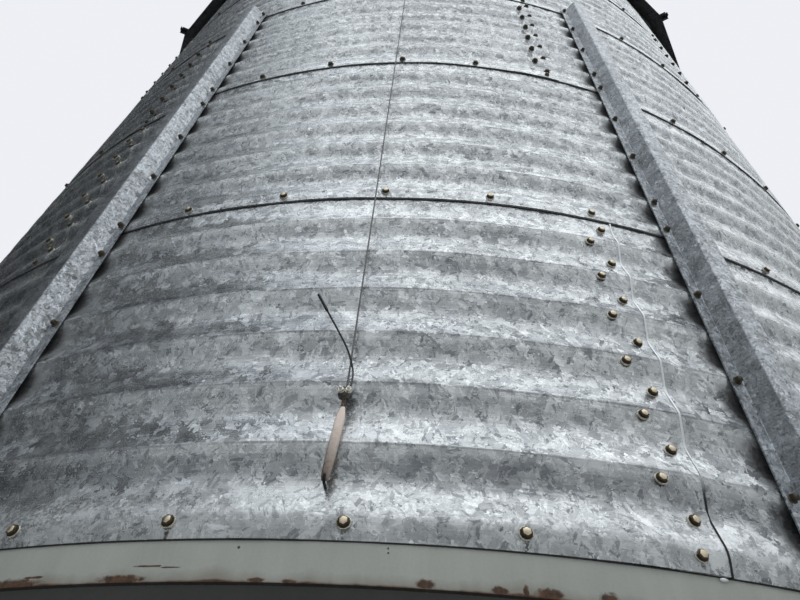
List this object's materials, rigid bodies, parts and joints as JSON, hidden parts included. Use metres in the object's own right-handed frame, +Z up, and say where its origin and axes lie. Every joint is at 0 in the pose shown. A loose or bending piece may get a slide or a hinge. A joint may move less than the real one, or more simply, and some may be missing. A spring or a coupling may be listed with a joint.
{
  "type": "grain silo with hopper bottom",
  "caption": "Round corrugated galvanised grain silo on a painted steel hopper and legs, with a ribbed conical roof, outside stiffeners and a lid pull wire.",
  "frame": {"origin": "on the ground under the silo's axis", "axes": "+Z up along the silo's axis, -Y towards the side that the picture shows, +X to the right of that view"},
  "size_m": [4.4166, 4.398, 7.6916],
  "materials": {
    "galvanised_wall": "galvanised sheet with a clear spangle, dulled by weather",
    "galvanised_section": "galvanised section, matt grey with a faint spangle",
    "galvanised_roof": "galvanised sheet, spangled",
    "hopper_paint": "light grey-green satin paint, rusted at the band's lower edge",
    "wire_rope": "thin steel wire rope, weathered dark",
    "black_sleeve": "black sleeve, matt",
    "zinc_hardware": "zinc plated, weathered",
    "tan_rubber": "tan rubber, matt, darker towards its lower end",
    "dark_steel": "dark weathered steel"
  },
  "bodies": {
    "root": {"wall_course_1": "galvanised_wall", "wall_course_2": "galvanised_wall", "wall_course_3": "galvanised_wall", "wall_course_4": "galvanised_wall", "wall_course_5": "galvanised_wall", "stiffener_1": "galvanised_section", "stiffener_2": "galvanised_section", "stiffener_3": "galvanised_section", "stiffener_4": "galvanised_section", "stiffener_5": "galvanised_section", "stiffener_6": "galvanised_section", "stiffener_7": "galvanised_section", "stiffener_8": "galvanised_section", "stiffener_9": "galvanised_section", "hopper_ring": "hopper_paint", "hopper_cone": "hopper_paint", "outlet_collar": "hopper_paint", "outlet_slide": "hopper_paint", "leg_1": "hopper_paint", "leg_2": "hopper_paint", "leg_3": "hopper_paint", "leg_4": "hopper_paint", "leg_5": "hopper_paint", "leg_6": "hopper_paint", "leg_7": "hopper_paint", "leg_8": "hopper_paint", "leg_9": "hopper_paint", "leg_tie_ring": "hopper_paint", "eave_ring": "galvanised_section", "roof_panels_1": "galvanised_roof", "roof_panels_2": "galvanised_roof", "roof_panels_3": "galvanised_roof", "roof_panels_4": "galvanised_roof", "roof_panels_5": "galvanised_roof", "roof_panels_6": "galvanised_roof", "roof_collar": "galvanised_roof", "fill_lid": "galvanised_roof", "eave_guide": "galvanised_section", "lid_lever": "galvanised_section", "lid_cable": "wire_rope", "cable_tail": "wire_rope", "tail_sleeve": "black_sleeve", "cable_clip": "zinc_hardware", "tension_strap": "tan_rubber", "wall_hook": "dark_steel"}
  },
  "joints": []
}
